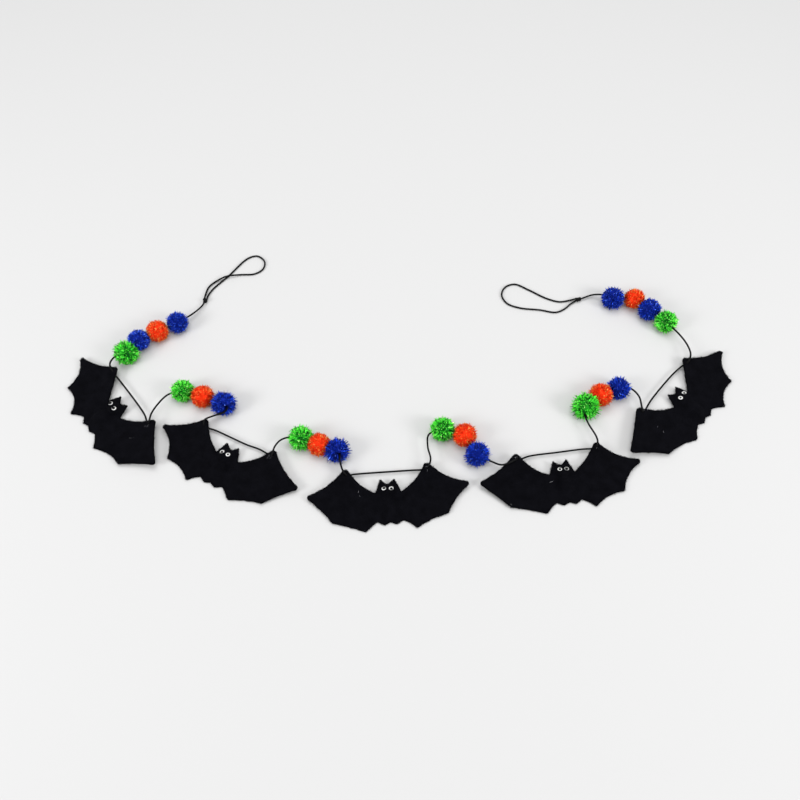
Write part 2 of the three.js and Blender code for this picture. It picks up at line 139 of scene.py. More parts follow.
def principled(tree, values):
    """A principled shader with these values, as the surface of its material."""
    surface(tree, add(tree, "ShaderNodeBsdfPrincipled", values).outputs["BSDF"])


def grain(tree, size, **more):
    """A noise fixed to the piece, with lumps of so many millimetres."""
    place = add(tree, "ShaderNodeTexCoord").outputs["Object"]
    made = add(tree, "ShaderNodeTexNoise", {"Vector": place, "Scale": every(size), **more})
    return made.outputs["Fac"]


def between(tree, amount, dark, light):
    """A colour between two."""
    return add(tree, "ShaderNodeMix", {
        "Factor": amount, "A": linear(dark), "B": linear(light),
    }, data_type="RGBA").outputs[2]


def bumps(tree, height, strength, depth):
    """The way out of a surface with bumps of so many millimetres."""
    return add(tree, "ShaderNodeBump", {
        "Height": height, "Strength": strength, "Distance": depth * MM,
    }).outputs["Normal"]


# %% [markdown]
# ## Waxed cord
# A waxed polyester or cotton cord: fine twisted fibres under a thin film of wax. To the eye it is
# nearly black, with a dull gloss that is broken up by the fibres. Fibres of 0.3 mm are drawn with a
# noise that runs in no direction, because the cord turns every way.

# %% Material of the cord
def waxed_cord():
    """Black twisted fibre under a film of wax."""
    material, tree = new_material("waxed_cord_black")
    fibres = grain(tree, 0.303, Detail=3.0)
    principled(tree, {
        "Base Color": between(tree, fibres, "040405", "0D0D0F"), "Roughness": 0.6,
        "Specular IOR Level": 0.12, "Normal": bumps(tree, fibres, 0.5, 0.2),
    })
    return material


CORD_BLACK = waxed_cord()

# %% [markdown]
# ## The cord's middle line
# One cord runs from knot to knot, through every pompom and every bat. It goes over the front of a
# wing's peak, down through a small hole, behind the bat and up at the other peak. Its route is
# the list that the solids were made from. A smooth line through the points, with closer steps, makes
# the bends round.

# %% Routes
CORD_ROUTE = [
    (-235.5, 137.2, 2.5), (-238.0, 130.5, 2.7), (-246.5, 116.5, 6.2), (-261.3, 102.0, 9.5),
    (-302.1, 77.4, 9.5), (-313.3, 59.9, 9.5), (-324.6, 56.0, 9.8), (-329.4, 46.2, 9.9),
    (-327.7, 40.7, 9.6), (-325.1, 36.9, 6.9), (-322.4, 33.0, 4.5), (-316.0, 25.9, 4.0),
    (-281.2, -16.6, 4.0), (-277.6, -24.4, 4.3), (-274.4, -28.8, 6.9), (-272.6, -25.6, 9.8),
    (-271.9, -18.6, 9.9), (-266.4, -5.9, 9.7), (-257.2, 5.6, 9.7), (-241.7, 10.4, 9.5),
    (-218.6, 3.3, 9.5), (-194.4, -5.7, 9.5), (-188.6, -12.4, 13.0), (-191.6, -16.6, 11.2),
    (-204.8, -20.8, 9.0), (-212.6, -24.8, 8.8), (-213.8, -29.4, 6.1), (-210.0, -32.0, 3.6),
    (-200.5, -35.5, 3.4), (-184.0, -43.4, 3.4), (-165.0, -52.5, 3.4), (-150.6, -58.0, 3.4),
    (-141.6, -63.4, 3.7), (-137.0, -66.6, 6.1), (-135.2, -63.2, 8.9), (-134.0, -57.6, 9.0),
    (-128.2, -49.8, 9.4), (-119.0, -46.4, 9.6), (-106.4, -47.1, 9.5), (-86.4, -54.9, 9.5),
    (-67.4, -62.0, 9.5), (-63.9, -67.9, 13.8), (-63.2, -74.4, 11.6), (-61.0, -82.4, 9.1),
    (-58.8, -86.5, 8.6), (-56.1, -88.7, 6.0), (-51.8, -87.2, 3.6), (-42.0, -86.1, 3.5),
    (14.0, -82.0, 3.5), (23.4, -81.5, 3.7), (27.9, -80.5, 6.1), (31.0, -77.4, 9.0),
    (32.4, -71.0, 9.0), (29.6, -57.0, 9.2), (31.2, -42.8, 9.4), (46.1, -36.9, 9.5),
    (69.6, -43.8, 9.5), (82.0, -66.5, 9.5), (97.0, -74.5, 9.1), (107.0, -78.2, 9.1),
    (115.6, -76.0, 9.9), (120.6, -73.0, 9.1), (124.5, -70.3, 6.6), (129.0, -69.2, 4.0),
    (138.5, -65.9, 3.8), (168.0, -61.7, 3.8), (197.0, -57.7, 3.8), (206.2, -57.2, 4.1),
    (210.5, -56.2, 6.6), (211.6, -52.6, 9.4), (211.4, -46.0, 9.0), (204.0, -28.6, 9.4),
    (201.9, -17.6, 9.5), (204.4, -9.0, 9.5), (222.7, 5.2, 9.5), (243.6, 13.6, 9.5),
    (256.8, 13.4, 9.6), (264.7, 4.1, 9.2), (265.9, -9.1, 9.0), (267.1, -14.5, 6.3),
    (270.7, -11.1, 3.8), (279.1, 1.1, 3.8), (309.1, 34.3, 3.6), (322.5, 45.9, 3.8),
    (327.5, 48.5, 6.1), (330.5, 52.1, 8.7), (333.1, 60.5, 9.0), (329.0, 77.4, 9.3),
    (312.2, 103.1, 9.5), (280.5, 136.2, 9.5), (254.8, 137.0, 9.5), (244.6, 143.0, 8.0),
    (233.4, 145.9, 4.2), (217.2, 140.6, 2.5),
]
LEFT_LOOP = [
    (-236.6, 140.2, 2.3), (-236.3, 148.6, 1.3), (-233.5, 160.2, 1.05), (-223.0, 170.0, 2.0),
    (-212.5, 174.6, 3.6), (-197.0, 178.4, 1.5), (-179.9, 180.0, 1.05), (-170.3, 187.3, 1.05),
    (-169.2, 199.3, 1.05), (-178.8, 207.9, 1.05), (-190.2, 204.5, 1.05), (-212.6, 175.5, 1.05),
    (-228.2, 156.9, 1.05), (-232.8, 147.0, 1.4), (-233.6, 140.2, 2.3),
]
RIGHT_LOOP = [
    (212.4, 141.4, 2.3), (204.4, 139.5, 1.5), (193.0, 137.8, 1.05), (177.4, 142.8, 1.05),
    (157.0, 155.5, 1.05), (140.4, 164.1, 1.05), (128.4, 159.4, 1.05), (123.6, 147.9, 1.05),
    (129.0, 135.7, 1.05), (143.2, 129.0, 1.05), (168.0, 125.8, 1.05), (186.9, 122.4, 1.05),
    (197.8, 127.5, 1.05), (205.4, 134.2, 1.5), (212.2, 138.4, 2.3),
]
LINE_STEP = 1.6


def smooth_line(points):
    """Close points on a soft line through the given ones, at speeds set by the root of length."""
    p = [at(*q) for q in points]
    p = [2 * p[0] - p[1], *p, 2 * p[-1] - p[-2]]
    line = []
    for a, b, c, d in zip(p, p[1:], p[2:], p[3:]):
        ta, tb, tc = [math.sqrt((v - u).length) for u, v in ((a, b), (b, c), (c, d))]
        out = ((b - a) / ta - (c - a) / (ta + tb) + (c - b) / tb) * tb
        into = ((c - b) / tb - (d - b) / (tb + tc) + (d - c) / tc) * tb
        parts = max(2, round((c - b).length / (LINE_STEP * MM)))
        for k in range(parts):
            t = k / parts
            line.append(
                (2 * t ** 3 - 3 * t ** 2 + 1) * b + (t ** 3 - 2 * t ** 2 + t) * out
                + (3 * t ** 2 - 2 * t ** 3) * c + (t ** 3 - t ** 2) * into
            )
    line.append(p[-2])
    return line


def length_of(line):
    """Length of a line of points, in the scene's metres."""
    return sum((b - a).length for a, b in zip(line, line[1:]))


main_line = smooth_line(CORD_ROUTE)
left_line = smooth_line(LEFT_LOOP)
right_line = smooth_line(RIGHT_LOOP)
print("cord lengths in mm:", [round(length_of(x) / MM, 1) for x in (main_line, left_line, right_line)])

# %% [markdown]
# ## The cord and its loops
# A cord of even thickness is a curve with a round bevel.

# %% Cords
CORD_THICKNESS = 2.0


def cord_piece(name, line):
    """A round cord along a line of points."""
    curve = bpy.data.curves.new(name, "CURVE")
    curve.dimensions = "3D"
    curve.bevel_depth = CORD_THICKNESS * MM / 2
    curve.bevel_resolution = 3
    curve.use_fill_caps = True
    spline = curve.splines.new("POLY")
    spline.points.add(len(line) - 1)
    spline.points.foreach_set("co", np.array([(*p, 1.0) for p in line]).ravel())
    curve.materials.append(CORD_BLACK)
    piece = bpy.data.objects.new(name, curve)
    bpy.context.scene.collection.objects.link(piece)
    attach(piece, "root")
    return piece


main_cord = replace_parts(cord_piece("waxed_cord", main_line), "cord_main")
left_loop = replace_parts(cord_piece("left_end_loop", left_line), "cord_loop_left")
right_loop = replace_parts(cord_piece("right_end_loop", right_line), "cord_loop_right")

# %% [markdown]
# ## The knots
# The doubled end is tied back on itself, which leaves a small lump of a few turns side by side.
# A spin of a circle about the run of the knot, moved on a little with each step, makes the
# turns as one coil.

# %% Knots
KNOT_RING = 1.4
KNOT_HEIGHT = 2.4
KNOT_LOWEST = 0.05
KNOT_SIDES, KNOT_STEPS = 10, 14
# one short turn the other way holds the coil, a little outside it
HOLDING_TURNS, HOLDING_RING = 0.8, 1.75
KNOTS = [
    {"name": "left_knot", "node": "knot_left", "x": -235.3, "y": 138.6, "along": 98,
     "turns": 3, "pitch": 1.75},
    {"name": "right_knot", "node": "knot_right", "x": 215.2, "y": 140.2, "along": 8,
     "turns": 4, "pitch": 1.95},
]


def once(parts):
    """Parts of a mesh in their first order, each once, so that every run gives the same mesh."""
    return list(dict.fromkeys(parts))


def mesh_piece(name, bm, materials):
    """A finished bmesh as a smooth piece of the garland that rides on its one body."""
    for face in bm.faces:
        face.smooth = True
    mesh = bpy.data.meshes.new(name)
    bm.to_mesh(mesh)
    bm.free()
    for material in materials:
        mesh.materials.append(material)
    piece = bpy.data.objects.new(name, mesh)
    bpy.context.scene.collection.objects.link(piece)
    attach(piece, "root")
    return piece


def knot_piece(knot):
    """A coil of cord and the turn that holds it, in place on the table."""
    bm = bmesh.new()
    length = (knot["turns"] - 1) * knot["pitch"]
    for way, turns, radius in ((1, knot["turns"], KNOT_RING), (-1, HOLDING_TURNS, HOLDING_RING)):
        circle = bmesh.ops.create_circle(bm, segments=KNOT_SIDES, radius=CORD_THICKNESS * MM / 2)["verts"]
        bmesh.ops.translate(bm, verts=circle, vec=(-way * length * MM / 2, radius * MM, 0))
        edges = once(e for v in circle for e in v.link_edges)
        steps = round(KNOT_STEPS * turns)
        bmesh.ops.spin(
            bm, geom=circle + edges, cent=(0, 0, 0), axis=(1, 0, 0), angle=2 * math.pi * turns,
            dvec=(way * length * MM / steps, 0, 0), steps=steps,
        )
    bmesh.ops.holes_fill(bm, edges=[e for e in bm.edges if e.is_boundary])
    bmesh.ops.recalc_face_normals(bm, faces=bm.faces)
    turn = Matrix.Rotation(math.radians(knot["along"]), 4, "Z")
    bm.transform(Matrix.Translation(at(knot["x"], knot["y"], KNOT_HEIGHT)) @ turn)
    lowest = min(v.co.z for v in bm.verts)
    bmesh.ops.translate(bm, verts=bm.verts, vec=(0, 0, max(0, KNOT_LOWEST * MM - lowest)))
    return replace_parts(mesh_piece(knot["name"], bm, [CORD_BLACK]), knot["node"])


left_knot, right_knot = [knot_piece(knot) for knot in KNOTS]
print("knots tied:", len(KNOTS))

# %% [markdown]
# ## Nylon flock
# Flock is very short nylon fibre that stands on end in glue, here in black. It swallows light, so the face
# of a bat is nearly black with a faint blue cast, and only fibres at a slant to the eye catch a little
# light. Sheen gives that. A noise of about half a millimetre stands for fibres too small to draw one by
# one, and one of 9 mm paints patches a little lighter or darker, as painted sheen of pile brushed another
# way.

# %% Material of the bats
def nylon_flock(name, dark, light, sheen):
    """Flock between two near-blacks, with patches of painted sheen."""
    material, tree = new_material(name)
    fibres = grain(tree, 0.5263, Detail=4.0, Roughness=0.7)
    # painted sheen: patches of 9 mm painted lighter or darker, as pile brushed another way catches the
    # light
    sheen_patches = grain(tree, 9.091, Detail=2.0)
    both = add(tree, "ShaderNodeMath", {0: fibres, 1: sheen_patches}, operation="MULTIPLY")
    tone = add(tree, "ShaderNodeMapRange", {
        "Value": both.outputs["Value"], "From Min": 0.12, "From Max": 0.42,
    })
    principled(tree, {
        "Base Color": between(tree, tone.outputs["Result"], dark, light),
        "Roughness": 0.95, "Specular IOR Level": 0.05,
        "Sheen Weight": sheen, "Sheen Roughness": 0.6, "Sheen Tint": linear("6A6A88"),
        "Normal": bumps(tree, fibres, 0.8, 0.5),
    })
    return material


FLOCK_SHEEN = 0.012
FLOCK = nylon_flock("nylon_flock_black", "040407", "0B0B10", FLOCK_SHEEN)
# the pile is a lighter copy of the same flock, painted sheen for fibres that catch the light
PILE_PAINTED_SHEEN = nylon_flock("nylon_flock_pile_painted_sheen", "060609", "131319", FLOCK_SHEEN)

# %% [markdown]
# ## The outline of a bat
# The maker cuts every bat with the same die, and each then bends a little in its own way. One table
# holds the right half: a corner's place across and along the bat, how round it is, and how far the
# edge after it bows in or out. The left half is its mirror image. The four long edges of a wing bow
# by another amount in each bat, and "edge" is their place in the bat's own list.
# A second table holds each bat's place and turn, how far each wing reaches and sweeps, how high its
# head and tips stand off the table, and where its eyes sit.

# %% Outline and places of the bats
SHEET = 2.0
OUTLINE = [
    {"u": 0, "v": -33, "round": 0, "bow": 0},
    {"u": 6.4, "v": -35.8, "round": 0, "bow": 0},
    {"u": 13.1, "v": -31.9, "round": 0, "bow": -0.8},
    {"u": 26.7, "v": -40.9, "round": 2.6, "edge": 0},
    {"u": 60.7, "v": -28.8, "round": 2.8, "edge": 1},
    {"u": 86.0, "v": 1.1, "round": 3.0, "edge": 2},
    {"u": 43.1, "v": 26.8, "round": 4.6, "edge": 3},
    {"u": 13.6, "v": -0.8, "round": 0, "bow": 0},
    {"u": 7.3, "v": 12.6, "round": 0.9, "bow": -0.4},
    {"u": 0, "v": 7.5, "round": 0, "bow": 0},
]
MOUNDS = [
    {"u": 0, "v": 0.2, "half_width": 11.5, "half_length": 8.2, "height": 5.5},
    {"u": 0, "v": -17, "half_width": 11, "half_length": 15.5, "height": 3.8},
]
BATS = [
    {"x": -315.9, "y": -8.3, "turn": -51.6, "reach": (0.94, 1.038), "sweep": (-0.4, 0.6),
     "bows": ((-5.4, -5.2, -3.4, 0.3), (-3.4, -1.2, -1.4, -3.2)),
     "head": 6.5, "tips": (1.5, 5.0), "eyes": ((-4.4, -0.3), (3.5, -0.3))},
    {"x": -184.8, "y": -65.5, "turn": -26.2, "reach": (0.926, 1.006), "sweep": (-1.7, -0.5),
     "bows": ((-3.3, -4.4, -3.0, -2.3), (-1.2, -1.2, -2.8, -3.3)),
     "head": 5.5, "tips": (4.0, 3.0), "eyes": ((-5.0, 0.4), (2.4, 0.2))},
    {"x": -12.4, "y": -105.3, "turn": 5.1, "reach": (0.975, 0.982), "sweep": (-0.7, -0.1),
     "bows": ((-0.4, -1.0, -3.4, -3.2), (-1.6, -2.3, -4.0, -3.2)),
     "head": 5.5, "tips": (1.5, 3.0), "eyes": ((-4.2, 0.9), (3.3, 0.6))},
    {"x": 171.3, "y": -84.1, "turn": 8.6, "reach": (1.03, 0.988), "sweep": (-1.3, -0.6),
     "bows": ((-0.7, -0.2, -2.7, -3.5), (-3.0, -4.0, -4.5, -2.0)),
     "head": 6.0, "tips": (4.0, 1.5), "eyes": ((-3.4, 1.3), (3.8, 0.9))},
    {"x": 313.3, "y": 4.3, "turn": 46.2, "reach": (1.118, 0.982), "sweep": (0.7, -0.4),
     "bows": ((-2.2, -0.9, -0.2, -3.4), (-4.8, -5.0, -3.3, 0.2)),
     "head": 5.5, "tips": (5.0, 1.5), "eyes": ((-3.7, 0.4), (4.3, 1.0))},
]
MOUND_STEEPNESS = 1.5
HEAD_RISE_FROM, HEAD_RISE_OVER = -12, 40
TIP_RISE_FROM, TIP_RISE_OVER = 40, 50
SHOULDER_U, SHOULDER_V, SHOULDER_SOFTEN = 12, -5, 12
ROUND_POINTS, EDGE_STEP = 6, 1.8


def bat_outline(bat):
    """A bat's outline as points in u and v, corners rounded and edges bowed."""
    left = [{**c, "u": -c["u"]} for c in OUTLINE[-2:0:-1]]
    corners = OUTLINE + left
    left_bows, right_bows = [
        [c["bow"] if "bow" in c else bat["bows"][side][c["edge"]] for c in OUTLINE[:-1]] for side in (0, 1)
    ]
    bows = right_bows + left_bows[::-1]
    spots = [Vector((c["u"], c["v"])) for c in corners]
    count = len(corners)
    arcs = []
    for i, corner in enumerate(corners):
        here = spots[i]
        if corner["round"] == 0:
            arcs.append([here])
            continue
        before = (here - spots[i - 1]).normalized()
        after = (spots[(i + 1) % count] - here).normalized()
        centre = here - (before - after).normalized() * corner["round"]
        start = math.atan2(-before.x, before.y)
        end = math.atan2(-after.x, after.y)
        end += 2 * math.pi if end < start else 0
        arcs.append([
            centre + corner["round"] * Vector((math.cos(a), math.sin(a)))
            for a in np.linspace(start, end, ROUND_POINTS)
        ])
    points = []
    for i, arc in enumerate(arcs):
        start, end = arc[-1], arcs[(i + 1) % count][0]
        way = end - start
        control = (start + end) / 2 + Vector((way.y, -way.x)).normalized() * 2 * bows[i]
        points += arc
        parts = max(2, round(way.length / EDGE_STEP))
        for k in range(1, parts):
            t = k / parts
            points.append((1 - t) ** 2 * start + 2 * t * (1 - t) * control + t * t * end)
    return np.array([tuple(p) for p in points])


def wing(bat, uv):
    """Where points of the outline lie once each wing is stretched and swept."""
    u, v = uv[:, 0], uv[:, 1]
    side = (u > 0).astype(int)
    out = np.maximum(np.abs(u) - SHOULDER_U, 0)
    angle = np.radians(np.array(bat["sweep"])[side]) * soft(out / SHOULDER_SOFTEN)
    along = out * np.array(bat["reach"])[side]
    up = v - SHOULDER_V
    x = SHOULDER_U + along * np.cos(angle) - up * np.sin(angle)
    y = SHOULDER_V + along * np.sin(angle) + up * np.cos(angle)
    return np.stack([np.where(out > 0, np.sign(u) * x, u), np.where(out > 0, y, v)], 1)


def lift(bat, u, v):
    """Height of a bat's underside above the table."""
    out = soft((np.abs(u) - TIP_RISE_FROM) / TIP_RISE_OVER)
    tips = np.where(u < 0, bat["tips"][0], bat["tips"][1]) * out
    return bat["head"] * soft((v - HEAD_RISE_FROM) / HEAD_RISE_OVER) + tips


def mound(u, v):
    """Height of the raised face and belly above the sheet."""
    total = 0
    for m in MOUNDS:
        away = np.hypot((u - m["u"]) / m["half_width"], (v - m["v"]) / m["half_length"])
        total = total + (m["height"] * soft(MOUND_STEEPNESS * (1 - away))) ** 2
    return np.sqrt(total)


def on_table(bat, x, y, z):
    """Points in a bat's own millimetres as scene points."""
    a = math.radians(bat["turn"])
    return np.stack([
        (bat["x"] + x * math.cos(a) - y * math.sin(a) - MIDDLE_X) * MM,
        (bat["y"] + x * math.sin(a) + y * math.cos(a) - MIDDLE_Y) * MM,
        z * MM,
    ], -1)


def area_of(outline):
    """Area inside an outline, in square millimetres."""
    x, y = outline.T
    return 0.5 * abs(np.sum(x * np.roll(y, -1) - y * np.roll(x, -1)))


for bat in BATS:
    bat["outline"] = wing(bat, bat_outline(bat))
    across, along = np.ptp(bat["outline"], axis=0)
    print(f"a bat of {across:.1f} x {along:.1f} mm, {area_of(bat['outline']):.0f} mm2")

# %% [markdown]
# ## Cutting and moulding a bat
# A bat could be a plane cut by a boolean, but an outline face gives a cleaner rim. A circle of as
# many points as the outline is moved onto it, inset three times for a soft rim, and the middle
# is cut into a grid by planes. A second copy, turned over, is the underside. Both are then
# lifted to their height: thin at the rim, 2 mm within, and raised at the face and belly.

# %% Bat sheets
RIM_STEPS = (0.25, 0.45, 0.7)
ROLL = 1.0  # width of the rounded rim
FINE, COARSE = 1.5, 2.6  # steps of the grid, fine over the face and belly
FINE_ACROSS, FINE_ALONG = (-15, 15), (-33, 10)
# depth in millimetres and lumps a millimetre
RAGGED, RAGGED_LUMPS = 0.4, 0.28
WOBBLE, WOBBLE_LUMPS = 0.25, 0.09


def uneven(bat, uv, lumps):
    """Noise from -1 to 1 at points of a bat, with so many lumps a millimetre."""
    return np.array([noise.noise(Vector((u * lumps, v * lumps, bat["x"]))) for u, v in uv])


def ragged(bat):
    """A bat's outline with the unevenness of a cut edge under pile."""
    outline = bat["outline"]
    way = np.roll(outline, -1, 0) - np.roll(outline, 1, 0)
    outward = np.stack([way[:, 1], -way[:, 0]], 1) / np.linalg.norm(way, axis=1, keepdims=True)
    return outline + outward * RAGGED * uneven(bat, outline, RAGGED_LUMPS)[:, None]


def edge_distance(uv, outline):
    """Distance of each point from the outline."""
    a, b = outline, np.roll(outline, -1, 0)
    way = b - a
    t = np.clip(((uv[:, None] - a) * way).sum(2) / (way ** 2).sum(1), 0, 1)
    return np.sqrt((((a + t[..., None] * way) - uv[:, None]) ** 2).sum(2).min(1))


def cuts(low, high, fine):
    """Places of the cuts between two ends, closer together in the fine part."""
    start, end = fine
    return [
        *np.arange(start - COARSE, low, -COARSE), *np.arange(start, end + 0.1, FINE),
        *np.arange(end + COARSE, high, COARSE),
    ]


def grid_cuts(outline):
    """Cutting planes across and along a bat, closer at the face and belly."""
    low, high = outline.min(0), outline.max(0)
    us = cuts(low[0], high[0], FINE_ACROSS)
    vs = cuts(low[1], high[1], FINE_ALONG)
    return [((u, 0, 0), (1, 0, 0)) for u in us] + [((0, v, 0), (0, 1, 0)) for v in vs]


def is_slanting(edge):
    """Whether an edge runs neither across nor along the bat."""
    way = edge.verts[0].co - edge.verts[1].co
    return min(abs(way.x), abs(way.y)) > 1e-3


def bat_sheet(bat, name):
    """A bat cut from its outline, gridded, doubled and moulded."""
    outline = ragged(bat)
    bm = bmesh.new()
    rim = bmesh.ops.create_circle(bm, cap_ends=True, segments=len(outline), radius=1)["verts"]
    for vertex, (u, v) in zip(rim, outline):
        vertex.co = (u, v, 0)
    for step in RIM_STEPS:
        middle = max(bm.faces, key=lambda f: len(f.verts))
        bmesh.ops.inset_region(bm, faces=[middle], thickness=step, use_even_offset=True)
    middle = max(bm.faces, key=lambda f: len(f.verts))
    inner = bmesh.ops.triangulate(bm, faces=[middle])["faces"]
    for spot, way in grid_cuts(outline):
        geometry = once(v for f in inner for v in f.verts) + once(e for f in inner for e in f.edges) + inner
        cut = bmesh.ops.bisect_plane(bm, geom=geometry, plane_co=spot, plane_no=way, dist=1e-4)
        inner = [g for g in cut["geom"] if isinstance(g, bmesh.types.BMFace)]
    inner_faces = set(inner)
    slanting = [
        e for e in once(e for f in inner for e in f.edges)
        if is_slanting(e) and inner_faces.issuperset(e.link_faces)
    ]
    bmesh.ops.dissolve_edges(bm, edges=slanting, use_verts=False)
    top = bm.faces[:]
    under = bmesh.ops.duplicate(bm, geom=bm.verts[:] + bm.edges[:] + bm.faces[:])["geom"]
    under_verts = [g for g in under if isinstance(g, bmesh.types.BMVert)]
    bmesh.ops.recalc_face_normals(bm, faces=top)
    if top[0].normal.z < 0:
        bmesh.ops.reverse_faces(bm, faces=top)
    under_faces = [g for g in under if isinstance(g, bmesh.types.BMFace)]
    for face in under_faces:
        face.normal_update()
    bmesh.ops.reverse_faces(bm, faces=[f for f in under_faces if f.normal.z > 0])
    below = set(under_verts)
    verts = bm.verts[:]
    uv = np.array([v.co.xy for v in verts])
    near = edge_distance(uv, outline)
    roll = np.sqrt(1 - (1 - np.clip(near / ROLL, 0, 1)) ** 2)
    base = lift(bat, uv[:, 0], uv[:, 1]) + SHEET / 2
    wobble = WOBBLE * uneven(bat, uv, WOBBLE_LUMPS)
    upper = base + roll * (SHEET / 2 + mound(uv[:, 0], uv[:, 1]) + wobble)
    lower = base - roll * SHEET / 2
    is_below = np.array([v in below for v in verts])
    spots = on_table(bat, uv[:, 0], uv[:, 1], np.where(is_below, lower, upper))
    for vertex, spot in zip(verts, spots):
        vertex.co = spot
    bmesh.ops.remove_doubles(bm, verts=[v for v, d in zip(verts, near) if d < 1e-3], dist=1e-7)
    return mesh_piece(name, bm, [FLOCK])


bat_pieces = [bat_sheet(bat, f"flocked_bat_{i + 1}") for i, bat in enumerate(BATS)]
print("faces of a bat:", [len(piece.data.polygons) for piece in bat_pieces])

# %% [markdown]
# ## Holes for the cord
# A hole near each wing peak lets the cord through. A short rod that follows the cord there is
# taken away from the sheet with a boolean, which is then applied.

# %% Holes
HOLE_RADIUS = 1.25
ROD_LENGTH, ROD_SIDES = 6, 16
# numbers of the two route points in each bat's holes
HOLES = [(9, 14), (26, 33), (45, 50), (62, 68), (79, 84)]


def hole_rod(bm, index):
    """A rod through the sheet along the cord at one of its route points."""
    before, here, after = [at(*CORD_ROUTE[index + k]) for k in (-1, 0, 1)]
    turn = (after - before).to_track_quat("Z", "Y").to_matrix().to_4x4()
    bmesh.ops.create_cone(
        bm, cap_ends=True, segments=ROD_SIDES, radius1=HOLE_RADIUS * MM, radius2=HOLE_RADIUS * MM,
        depth=ROD_LENGTH * MM, matrix=Matrix.Translation(here) @ turn,
    )


def replace_mesh(piece):
    """Keeps what the piece's modifiers show as its mesh, and takes them off."""
    shown = piece.evaluated_get(bpy.context.evaluated_depsgraph_get())
    mesh = bpy.data.meshes.new_from_object(shown)
    piece.modifiers.clear()
    piece.data = mesh


for piece, pair in zip(bat_pieces, HOLES):
    bm = bmesh.new()
    for index in pair:
        hole_rod(bm, index)
    mesh = bpy.data.meshes.new("hole_rods")
    bm.to_mesh(mesh)
    bm.free()
    rods = bpy.data.objects.new("hole_rods", mesh)
    bpy.context.scene.collection.objects.link(rods)
    cut = piece.modifiers.new("holes", "BOOLEAN")
    cut.operation = "DIFFERENCE"
    cut.solver = "EXACT"
    cut.object = rods
    replace_mesh(piece)
    bpy.data.objects.remove(rods)
print("faces with holes:", [len(piece.data.polygons) for piece in bat_pieces])

# %% [markdown]
# ## Pile
# Flock shows at the rim, where its fibres stand out against the pale table. Thousands of tapered
# blades are scattered over the sheet, denser and longer at the rim and short underneath, and joined
# in one mesh a bat. One blade is modelled, and arrays repeat it. Neighbouring fibres lean the same
# way, as if brushed, and stick together in small tufts.

# %% Pile of the bats
def blade_template(parts):
    """The corners and faces of a flat strip of length 1 and width 1, in so many parts."""
    bm = bmesh.new()
    bmesh.ops.create_grid(bm, x_segments=1, y_segments=parts, size=0.5)
    bmesh.ops.translate(bm, verts=bm.verts, vec=(0, 0.5, 0))
    bm.verts.ensure_lookup_table()
    shape = np.array([v.co[:2] for v in bm.verts])
    faces = np.array([[v.index for v in f.verts] for f in bm.faces])
    bm.free()
    return shape, faces


def tiled_piece(name, points, faces, tints, material, outs=None):
    """One joined mesh of equal strips. points is strips by corners by 3, tints strips by corners.

    outs, where given, is the way out from the middle at each point, for the shading.
    """
    count, corners = points.shape[:2]
    numbers = (faces[None] + corners * np.arange(count)[:, None, None]).reshape(-1, faces.shape[1])
    mesh = bpy.data.meshes.new(name)
    mesh.vertices.add(count * corners)
    mesh.vertices.foreach_set("co", points.astype(np.float32).ravel())
    mesh.loops.add(numbers.size)
    mesh.loops.foreach_set("vertex_index", numbers.astype(np.int32).ravel())
    mesh.polygons.add(len(numbers))
    mesh.polygons.foreach_set("loop_start", np.arange(0, numbers.size, numbers.shape[1], dtype=np.int32))
    tint = mesh.attributes.new("tint", "FLOAT", "POINT")
    tint.data.foreach_set("value", np.broadcast_to(tints, (count, corners)).astype(np.float32).ravel())
    if outs is not None:
        out = mesh.attributes.new("out", "FLOAT_VECTOR", "POINT")
        out.data.foreach_set("vector", outs.astype(np.float32).ravel())
    mesh.update(calc_edges=True)
    mesh.materials.append(material)
    piece = bpy.data.objects.new(name, mesh)
    bpy.context.scene.collection.objects.link(piece)
    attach(piece, "root")
    return piece


def unit(vectors):
    """The same directions with a length of 1."""
    return vectors / np.maximum(np.linalg.norm(vectors, axis=-1, keepdims=True), 1e-12)


def strips(roots, ways, lengths, widths, shape, rng, bend, taper):
    """Corner points of strips that start at roots and run along ways, with a random face side."""
    side = unit(np.cross(ways, rng.normal(size=ways.shape)))
    third = unit(np.cross(ways, side))
    across = shape[:, 0][None, :, None] * widths[:, None, None] * side[:, None]
    narrow = (1 - taper * shape[:, 1])[None, :, None]
    along = shape[:, 1][None, :, None] * lengths[:, None, None] * ways[:, None]
    sag = (shape[:, 1] ** 2)[None, :, None] * (bend * lengths)[:, None, None] * third[:, None]
    return roots[:, None] + across * narrow + along + sag


def scatter(piece, count, weigh, rng):
    """Random places on a piece's faces with their normals."""
    mesh = piece.data
    mesh.calc_loop_triangles()
    corners = np.zeros(len(mesh.loop_triangles) * 3, np.int32)
    mesh.loop_triangles.foreach_get("vertices", corners)
    spots = np.zeros(len(mesh.vertices) * 3)
    mesh.vertices.foreach_get("co", spots)
    a, b, c = [spots.reshape(-1, 3)[corners.reshape(-1, 3)[:, k]] for k in range(3)]
    cross = np.cross(b - a, c - a)
    weight = np.linalg.norm(cross, axis=1) * weigh((a + b + c) / 3, unit(cross))
    chosen = rng.choice(len(a), count, p=weight / weight.sum())
    r, s = rng.random((2, count, 1))
    flip = r + s > 1
    r, s = np.where(flip, 1 - r, r), np.where(flip, 1 - s, s)
    return a[chosen] + r * (b - a)[chosen] + s * (c - a)[chosen], unit(cross)[chosen]


PILE_COUNT = 19000
PILE_LENGTH, PILE_WIDTH = (0.6, 1.1), (0.1, 0.2)
PILE_BEND, PILE_TAPER = 0.2, 0.8
PILE_LOWEST = 0.02
RIM_WIDTH, RIM_EXTRA = 1.0, 9  # how much denser the pile is in a rim this wide
RIM_LONGER, RIM_TUFTS = 0.35, 0.9
UNDER, UNDER_DENSITY, UNDER_LENGTH = -0.3, 0.2, 0.35
BRUSHED, BRUSHED_LUMPS = 0.6, 90  # how strongly, and lumps a metre
CLUMPED, CLUMPED_LUMPS = 1.1, 420
LOOSE = 0.4

